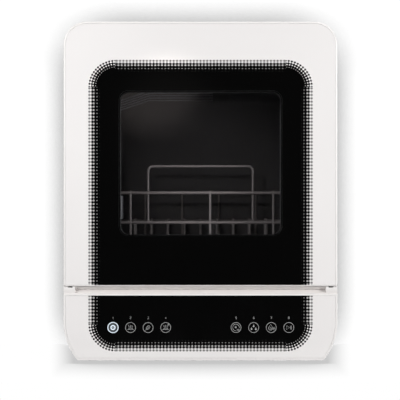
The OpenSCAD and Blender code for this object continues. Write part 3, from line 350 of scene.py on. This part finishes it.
def sharpEdges(mesh, angle):
    limit = math.radians(angle)
    return [e for e in mesh.edges if len(e.link_faces) == 2 and e.calc_face_angle(0.0) > limit]


# angles in degrees, lengths in metres: closer corners are joined, flatter faces become one, sharper edges are rounded
softening = {"joined": 1e-6, "flat": 0.4, "sharp": 35, "steps": 2, "shadedSharp": 50, "frontRadius": 0.0025,
             "frontSteps": 5}


def addPiece(mesh, name, body, finish):
    data = bpy.data.meshes.new(name)
    mesh.to_mesh(data)
    mesh.free()
    piece = bpy.data.objects.new(name, data)
    bpy.context.scene.collection.objects.link(piece)
    dress(piece, finish)
    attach(piece, body)
    return piece


def addSmoothPiece(mesh, name, body, finish):
    piece = addPiece(mesh, name, body, finish)
    for face in piece.data.polygons:
        face.use_smooth = True
    piece.data.set_sharp_from_angle(angle=math.radians(softening["shadedSharp"]))
    weighting = piece.modifiers.new("evenShading", "WEIGHTED_NORMAL")
    weighting.keep_sharp = True
    return piece


# moulded edges: width of the small radius on each visible part, in metres
edgeRadii = {
    "door_frame": 0.0004, "lower_front_panel": 0.0009, "handle_recess": 0.0002, "door_glass": 0.0001,
    "control_glass": 0.0001, "door_liner": 0.0008,
    "base_pan": 0.0008, "left_side_panel": 0.0005, "right_side_panel": 0.0005, "top_cover": 0.0006,
    "back_panel": 0.0005, "vent_grille": 0.0004, "feet": 0.0008, "front_frame": 0.0004,
    "fill_cap": 0.0008, "cord_gland": 0.0006, "door_seal": 0.001, "tub": 0.0006, "rack_rails": 0.0003,
    "rack_runners": 0.0003, "tablet_cup": 0.0008, "lower_spray_arm": 0.0012, "upper_spray_arm": 0.0012,
    "coarse_filter": 0.0003, "filter_plate": 0.0003, "hinge_brackets": 0.0005, "latch_strikes": 0.0004,
    "float_cap": 0.0012,
}


def keepBehind(mesh, front):
    for corner in mesh.verts:
        corner.co.y = max(corner.co.y, front)


def softCopy(name, change=None):
    s = softening
    mesh = bmesh.new()
    mesh.from_mesh(nodes[name].data)
    bmesh.ops.remove_doubles(mesh, verts=mesh.verts, dist=s["joined"])
    bmesh.ops.dissolve_limit(mesh, angle_limit=math.radians(s["flat"]), verts=mesh.verts[:], edges=mesh.edges[:])
    if name in ("door_frame", "lower_front_panel"):
        bevelEdges(mesh, [e for e in mesh.edges if onFrontRim(e)], s["frontRadius"], s["frontSteps"])
    if change:
        change(mesh)
    bevelEdges(mesh, sharpEdges(mesh, s["sharp"]), edgeRadii[name], s["steps"])
    keepBehind(mesh, outline["front"])
    words = name.split("_")
    newName = words[0] + "".join(word.capitalize() for word in words[1:])
    piece = addSmoothPiece(mesh, newName, bodyOf[name], finishOfSlot[slotOf[name]])
    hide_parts(name)
    return piece


# small moves near the front, in metres: corners between two heights go down or up by the third number
nudges = {
    "aheadOf": -0.2,
    "doorRim": ((0.1095, 0.1115, -0.0016), (0.1079, 0.1081, -0.0005)),  # narrow rim that nearly meets the recess
    "controlRim": ((0.0935, 0.0945, 0.0006),),
    "lipAbove": 0.1063, "lipLevel": 0.1072,  # closes most of the gap under the door
    "printDepth": 0.00006,  # the printed marks stand this far proud of the control glass
}


def nudge(mesh, moves):
    for corner in mesh.verts:
        for low, high, shift in moves:
            if corner.co.y < nudges["aheadOf"] and low < corner.co.z < high:
                corner.co.z += shift
                break


def lowerRim(mesh):
    nudge(mesh, nudges["doorRim"])


def raiseGlass(mesh):
    nudge(mesh, nudges["controlRim"])


def sinkFront(mesh):
    raiseGlass(mesh)
    keepBehind(mesh, outline["front"] + nudges["printDepth"])


def raiseLip(mesh):
    for corner in mesh.verts:
        if corner.co.y < nudges["aheadOf"] and corner.co.z > nudges["lipAbove"]:
            corner.co.z = nudges["lipLevel"]


changes = {"door_frame": lowerRim, "door_glass": lowerRim, "handle_recess": raiseLip,
           "lower_front_panel": raiseGlass, "control_glass": sinkFront}
pieces = {name: softCopy(name, changes.get(name)) for name in edgeRadii}
# the recess takes the white with painted shade
dress(pieces["handle_recess"], "recessShellPaintedShade")


# everything that edges the window is blackened as painted shade, so that no rim shines; lengths in metres
windowShadeZone = {"half": 0.126, "low": 0.166, "high": 0.392, "facingAhead": 0.95}
windowParts = [nodes["window_pane"], nodes["inner_pane"], pieces["door_frame"], pieces["door_glass"],
               pieces["door_liner"]]
for piece in windowParts:
    piece.data.materials.append(finishes["paintedShadeBlack"])
    for face in piece.data.polygons:
        inside = abs(face.center.x) < windowShadeZone["half"] and windowShadeZone["low"] < face.center.z < windowShadeZone["high"]
        if inside and abs(face.normal.y) < windowShadeZone["facingAhead"]:
            face.material_index = 1
print("softened", len(pieces), "parts")


# touch keys: rings and pictures printed on the control glass, in millimetres
keyLook = {"level": 50.4, "ring": 6.95, "line": 0.65, "mark": 0.55, "numberUp": 13.4, "number": 2.9,
           "numberLine": 0.5, "places": (-121.4, -97.1, -72.7, -48.3, 49.3, 73.7, 98.1, 122.5)}
# the lit power key: radius and line of its two rings and halo, then its mark
powerLook = {"outer": (7.1, 1.2), "inner": (2.8, 1.7), "halo": (5.1, 2.9), "haloMiddle": 2.0, "stem": (0.1, 1.7),
             "stemLine": 0.5, "arc": 1.15, "arcLine": 0.45}


def arc(x, z, radius, start, end, steps=24):
    turns = [math.radians(start + (end - start) * i / steps) for i in range(steps + 1)]
    return [(x + radius * math.cos(t), z + radius * math.sin(t)) for t in turns]


def circle(x, z, radius, steps=36):
    return arc(x, z, radius, 0, 360, steps)[:-1]


def drop(x, z, radius, tall):
    return arc(x, z, radius, 150, 390, 14) + [(x, z + tall)]


def wave(x, z, high, swing):
    return [(x + swing * math.sin(2 * math.pi * i / 8), z + high * i / 8) for i in range(9)]


def ribbon(points, width, closed=False):
    sides = []
    count = len(points)
    for i, (x, z) in enumerate(points):
        before = points[i - 1] if closed or i else points[i]
        after = points[(i + 1) % count] if closed or i < count - 1 else points[i]
        run = Vector((after[0] - before[0], after[1] - before[1])).normalized() * width / 2
        sides.append(((x - run.y, z + run.x), (x + run.y, z - run.x)))
    pairs = list(zip(sides, sides[1:] + sides[:1])) if closed else list(zip(sides, sides[1:]))
    return [[a[0], a[1], b[1], b[0]] for a, b in pairs]


inkFront = outline["front"] + 0.00001
inkBack = outline["front"] + nudges["printDepth"]


def inkMarks(name, shapes, finish, body="case", front=inkFront, back=inkBack):
    mesh = bmesh.new()
    for shape in shapes:
        low = [mesh.verts.new((x / 1000, back, z / 1000)) for x, z in shape]
        high = [mesh.verts.new((x / 1000, front, z / 1000)) for x, z in shape]
        mesh.faces.new(high)
        mesh.faces.new(low[::-1])
        for i in range(len(shape)):
            j = (i + 1) % len(shape)
            mesh.faces.new((low[i], low[j], high[j], high[i]))
    bmesh.ops.recalc_face_normals(mesh, faces=mesh.faces[:])
    addPiece(mesh, name, body, finish)


def moved(shapes, x, z):
    return [[(px + x, pz + z) for px, pz in shape] for shape in shapes]


def platePicture(m):
    shapes = ribbon([(-4.3, -2.7), (4.3, -2.7)], m) + ribbon(arc(0, -6.2, 5.4, 52, 128, 10), m)
    for x in (-2.3, 0.0, 2.3):
        shapes += ribbon(wave(x, 0.0, 3.4, 0.45), m)
    return shapes


def leafPicture(m):
    edge = arc(-2.4, 2.4, 5.2, -80, -10, 12) + arc(2.4, -2.4, 5.2, 100, 170, 12)
    return ribbon(edge, m, True) + ribbon([(-3.9, -3.9), (0.9, 0.9)], m)


def plateStarPicture(m):
    return platePicture(m) + ribbon([(2.6, 4.0), (5.4, 4.0)], m) + ribbon([(4.0, 2.6), (4.0, 5.4)], m)


def clockPicture(m):
    return (ribbon(arc(0, 0, 4.6, -10, 275, 30), m) + [circle(-0.4, 0.4, 1.3, 16)]
            + ribbon([(1.2, -2.6), (4.8, -2.6)], m) + ribbon([(2.0, -4.2), (4.4, -4.2)], m))


def rinsePicture(m):
    return [drop(x, z, 1.25, 2.7) for x, z in ((0.0, 1.7), (-3.0, -2.2), (3.0, -2.2))]


def dryPicture(m):
    return (ribbon(drop(-0.8, -0.9, 2.9, 5.4), m, True) + ribbon(drop(-0.8, -1.4, 1.1, 2.2), m, True)
            + ribbon(wave(3.2, -3.2, 3.6, 0.5), m) + ribbon(wave(4.9, -2.6, 2.8, 0.4), m))


def startPicture(m):
    return (ribbon([(-3.0, -2.6), (-3.0, 2.6), (0.9, 0.0)], m, True) + ribbon([(2.1, -2.6), (2.1, 2.6)], m)
            + ribbon([(3.8, -2.6), (3.8, 2.6)], m))


def numberShapes(digit, size, line):
    w, h = size * 0.3, size / 2
    strokes = {
        1: [[(-w * 0.6, h * 0.5), (0, h), (0, -h)]],
        2: [arc(0, h * 0.45, w, 150, -30, 8) + [(-w, -h), (w, -h)]],
        3: [arc(0, h * 0.48, w * 0.9, 140, -80, 8), arc(0, -h * 0.45, w, 80, -140, 8)],
        4: [[(w * 0.5, -h), (w * 0.5, h), (-w, -h * 0.35), (w * 1.1, -h * 0.35)]],
        5: [[(w, h), (-w * 0.8, h), (-w * 0.9, h * 0.1)] + arc(0, -h * 0.35, w, 110, -140, 9)],
        6: [arc(0, -h * 0.42, w, 180, -180, 14), [(-w, -h * 0.42), (-w * 0.5, h * 0.5), (w * 0.5, h)]],
        7: [[(-w, h), (w, h), (-w * 0.3, -h)]],
        8: [arc(0, h * 0.48, w * 0.85, 0, 360, 12), arc(0, -h * 0.45, w, 0, 360, 12)],
    }[digit]
    return [quad for stroke in strokes for quad in ribbon(stroke, line)]


def makeKeys():
    k = keyLook
    pictures = (platePicture, leafPicture, plateStarPicture, clockPicture, rinsePicture, dryPicture, startPicture)
    shapes = []
    for place, picture in zip(k["places"][1:], pictures):
        shapes += ribbon(circle(place, k["level"], k["ring"]), k["line"], True)
        shapes += moved(picture(k["mark"]), place, k["level"])
    for count, place in enumerate(k["places"]):
        shapes += moved(numberShapes(count + 1, k["number"], k["numberLine"]), place, k["level"] + k["numberUp"])
    inkMarks("keyPictures", shapes, "keyInk")
    x, z, p = k["places"][0], k["level"], powerLook
    outer, inner, halo = [ribbon(circle(x, z, p[ring][0]), p[ring][1], True) for ring in ("outer", "inner", "halo")]
    inkMarks("powerRing", outer + inner, "keyLight")
    inkMarks("powerHalo", halo + [circle(x, z, p["haloMiddle"], 24)], "keyHalo")
    stem = ribbon([(x, z + height) for height in p["stem"]], p["stemLine"])
    inkMarks("powerMark", stem + ribbon(arc(x, z, p["arc"], 120, 420, 18), p["arcLine"]), "keyLight")


makeKeys()
print("touch keys printed")

# black border printed round the window, in millimetres; front and back of the ink in metres
borderLook = {"halfWide": 112.5, "low": 178.5, "high": 378.5, "corner": 12.5, "line": 1.5,
              "front": -0.20184, "back": -0.20179}


def makeWindowBorder():
    b = borderLook
    inX, lowZ, highZ = b["halfWide"] - b["corner"], b["low"] + b["corner"], b["high"] - b["corner"]
    path = []
    for x, z, start in ((inX, highZ, 0), (-inX, highZ, 90), (-inX, lowZ, 180), (inX, lowZ, 270)):
        path += arc(x, z, b["corner"], start, start + 90, 8)
    inkMarks("windowBorder", ribbon(path, b["line"], True), "printedGlass", "door", b["front"], b["back"])


makeWindowBorder()

# dark slots at the two ends of the recess, thin black sheets of painted shade for the gaps there, in millimetres;
# front and back in metres
slotShadeLook = {"across": (-181.0, 181.0), "half": 3.2, "low": 106.0, "high": 107.1, "front": -0.2044, "back": -0.204}


def makeSlotShade():
    k = slotShadeLook
    shapes = []
    for x in k["across"]:
        left, right = x - k["half"], x + k["half"]
        shapes.append([(left, k["low"]), (right, k["low"]), (right, k["high"]), (left, k["high"])])
    inkMarks("recessSlotShade", shapes, "paintedShadeBlack", "case", k["front"], k["back"])


makeSlotShade()


# stepped cove moulded into the back wall of the tub, in millimetres; its ridges take a paler grey than the tub, a
# painted highlight along with the real light of the beam
coveLook = {"steps": 5, "pitch": 3.6, "high": 2.0, "wide": 2.0, "wall": 102.5,
            "line": ((-154.0, 366.0), (-140.0, 373.0), (-78.0, 394.0), (19.0, 394.0))}


def addBar(mesh, line, profile):
    wall = coveLook["wall"]
    rings = [[mesh.verts.new((x / 1000, (wall - depth) / 1000, (z + rise) / 1000)) for rise, depth in profile]
             for x, z in line]
    count = len(profile)
    for first, second in zip(rings, rings[1:]):
        for i in range(count):
            j = (i + 1) % count
            mesh.faces.new((first[i], first[j], second[j], second[i]))
    mesh.faces.new(rings[0][::-1])
    mesh.faces.new(rings[-1])


def makeCove():
    c = coveLook
    mesh = bmesh.new()
    half = c["wide"] / 2
    for step in range(c["steps"]):
        line = [(x, z - step * c["pitch"]) for x, z in c["line"]]
        addBar(mesh, line, ((half, 0.0), (half * 0.5, c["high"]), (-half * 0.5, c["high"]), (-half, 0.0)))
    bmesh.ops.recalc_face_normals(mesh, faces=mesh.faces[:])
    addSmoothPiece(mesh, "tubCove", "case", "greyPlastic")


makeCove()
print("tub cove moulded")


# floor and backdrop: lit white, greyer where the machine shades them, all lengths in metres
stageLook = {"ahead": 0.5, "behind": 0.9, "side": 3.0, "wall": 0.213, "wallHigh": 2.4, "glow": 0.9, "brightest": 1.09}
# how far the shade reaches, how open a place is at its darkest and at full white, and its darkest tone
floorLook = {"white": 0.3, "reach": 0.3, "open": (0.45, 0.98), "tone": 0.62}
wallLook = {"white": 0.8, "reach": 0.07, "open": (0.72, 0.98), "tone": 0.4}
# the shade reaches further above the machine, and on the floor it ends beside it; turn lets the end follow the view
shadeLook = {"tallFrom": 0.42, "tallTo": 0.5, "taller": 1.2, "sideFrom": 0.132, "sideTo": 0.2125, "turn": -0.065,
             "shift": -0.0133}


def makeStageFinish(name, look, endsBeside=False):
    k = shadeLook
    material, tree, shader = startFinish(name)
    makeMatt(shader, look["white"])
    axes = axesOf(tree, objectPoint(tree))
    reach = remap(tree, axes["Z"], k["tallFrom"], k["tallTo"], look["reach"], look["reach"] * k["taller"])
    contact = addNode(tree, "ShaderNodeAmbientOcclusion", {"Distance": reach}, samples=16).outputs["AO"]
    shade = remap(tree, contact, *look["open"], look["tone"], stageLook["brightest"])
    if endsBeside:
        away = calc(tree, "ADD", calc(tree, "ABSOLUTE", axes["X"]),
                    calc(tree, "MULTIPLY_ADD", axes["Y"], k["turn"], k["shift"]))
        fade = remap(tree, away, k["sideFrom"], k["sideTo"], 0.0, 1.0, interpolation_type="SMOOTHSTEP")
        shade = calc(tree, "MAXIMUM", shade, calc(tree, "MULTIPLY", fade, stageLook["brightest"]))
    glow = addNode(tree, "ShaderNodeEmission", {"Color": shade})
    share = calc(tree, "MULTIPLY", seenDirectly(tree), stageLook["glow"])
    mixed = addNode(tree, "ShaderNodeMixShader", {0: share, 1: shader.outputs[0], 2: glow.outputs[0]})
    # seen from behind or below it isn't there
    clear = tree.nodes.new("ShaderNodeBsdfTransparent")
    facing = tree.nodes.new("ShaderNodeNewGeometry").outputs["Backfacing"]
    sided = addNode(tree, "ShaderNodeMixShader", {0: facing, 1: mixed.outputs[0], 2: clear.outputs[0]})
    tree.links.new(sided.outputs[0], tree.nodes["Material Output"].inputs["Surface"])
    return material


def makeStagePanel(name, corners, material):
    data = bpy.data.meshes.new(name)
    data.from_pydata(corners, [], [(0, 1, 2, 3)])
    data.materials.append(material)
    panel = bpy.data.objects.new(name, data)
    bpy.context.scene.collection.objects.link(panel)
    return panel


s = stageLook
right = s["side"] / 2
floorCorners = [(-right, -s["ahead"], 0), (right, -s["ahead"], 0), (right, s["behind"], 0), (-right, s["behind"], 0)]
wallCorners = [(-right, s["wall"], 0), (right, s["wall"], 0), (right, s["wall"], s["wallHigh"]),
               (-right, s["wall"], s["wallHigh"])]
floor = makeStagePanel("studioFloor", floorCorners, makeStageFinish("floorWhite", floorLook, True))
backdrop = makeStagePanel("backdrop", wallCorners, makeStageFinish("backdropWhite", wallLook))
floor.visible_shadow = False  # keeps the foot of the backdrop white
backdrop.visible_diffuse = False
backdrop.visible_shadow = False

# lamps: place, width of the square in metres and watts; all look at the middle of the machine
lampLook = {
    "leftLamp": {"at": (-0.75, -0.88, 0.52), "size": 0.35, "power": 6.0},
    "rightLamp": {"at": (0.98, -1.0, 0.5), "size": 0.4, "power": 9.9},
    "topLamp": {"at": (0.1, -0.1, 2.4), "size": 1.2, "power": 6.0},
    "backLamp": {"at": (0.8, 2.2, 1.5), "size": 1.4, "power": 18.0},
}
lampAim = (0, 0, 0.2)
# narrow beams through the window: one on the rack, one on the cove of the tub; spread in degrees
beamLook = {
    "rackBeam": {"at": (-0.1, -1.9, 0.36), "aim": (0.0, 0.0, 0.27), "power": 30.0, "spread": 9.0,
                 "colour": (1.0, 0.97, 0.95)},
    "coveBeam": {"at": (0.12, -1.6, 0.06), "aim": (-0.08, 0.1, 0.41), "power": 85.0, "spread": 6.4,
                 "colour": (1.0, 0.92, 0.86)},
}
beamEdge = {"blend": 0.9, "radius": 0.02}


def hangLamp(name, kind, look, aim):
    lamp = bpy.data.lights.new(name, kind)
    lamp.energy = look["power"]
    holder = bpy.data.objects.new(name, lamp)
    holder.location = look["at"]
    holder.rotation_euler = (Vector(aim) - Vector(look["at"])).to_track_quat("-Z", "Y").to_euler()
    bpy.context.scene.collection.objects.link(holder)
    return holder


for name, look in lampLook.items():
    hangLamp(name, "AREA", look, lampAim).data.size = look["size"]
for name, look in beamLook.items():
    holder = hangLamp(name, "SPOT", look, look["aim"])
    holder.data.color = look["colour"]
    holder.data.spot_size = math.radians(look["spread"])
    holder.data.spot_blend = beamEdge["blend"]
    holder.data.shadow_soft_size = beamEdge["radius"]
    holder.visible_glossy = False
    holder.visible_transmission = False

# sky: white to look at, as a light it grows from below the horizon upwards
skyLook = {"from": -0.25, "to": 0.4, "dim": 0.08, "bright": 0.38}


def makeSky():
    k = skyLook
    sky = bpy.data.worlds.new("paleRoom")
    sky.use_nodes = True
    tree = sky.node_tree
    height = axesOf(tree, tree.nodes.new("ShaderNodeTexCoord").outputs["Generated"])["Z"]
    ambient = remap(tree, height, k["from"], k["to"], k["dim"], k["bright"])
    background = tree.nodes["Background"]
    background.inputs["Color"].default_value = (1.0, 1.0, 1.0, 1.0)
    tree.links.new(calc(tree, "MAXIMUM", ambient, seenDirectly(tree)), background.inputs["Strength"])
    bpy.context.scene.world = sky


makeSky()

# dark card behind the camera, which the black glass mirrors
cardLook = {"y": -4.6, "half": 1.1, "middle": 0.7, "grey": 0.01}
c = cardLook
cardBlack, _, cardShader = startFinish("cardBlack")
makeMatt(cardShader, c["grey"])
cardCorners = [(x * c["half"], c["y"], c["middle"] + z * c["half"]) for x, z in ((-1, -1), (1, -1), (1, 1), (-1, 1))]
card = makeStagePanel("darkCard", cardCorners, cardBlack)
card.visible_camera = False
card.visible_shadow = False

# camera: level, square on, far back
cameraLook = {"distance": 3.0, "across": 0.5548, "x": -0.0007, "z": 0.2273, "sensor": 36.0}
lens = bpy.data.cameras.new("frontCamera")
lens.sensor_width = cameraLook["sensor"]
lens.lens = cameraLook["sensor"] * cameraLook["distance"] / cameraLook["across"]
lens.clip_end = 50.0
camera = bpy.data.objects.new("frontCamera", lens)
camera.location = (cameraLook["x"], outline["front"] - cameraLook["distance"], cameraLook["z"])
camera.rotation_euler = (math.pi / 2, 0, 0)
bpy.context.scene.collection.objects.link(camera)
bpy.context.scene.camera = camera
bpy.context.scene.view_settings.view_transform = "Standard"
print("stage, lamps and camera ready")
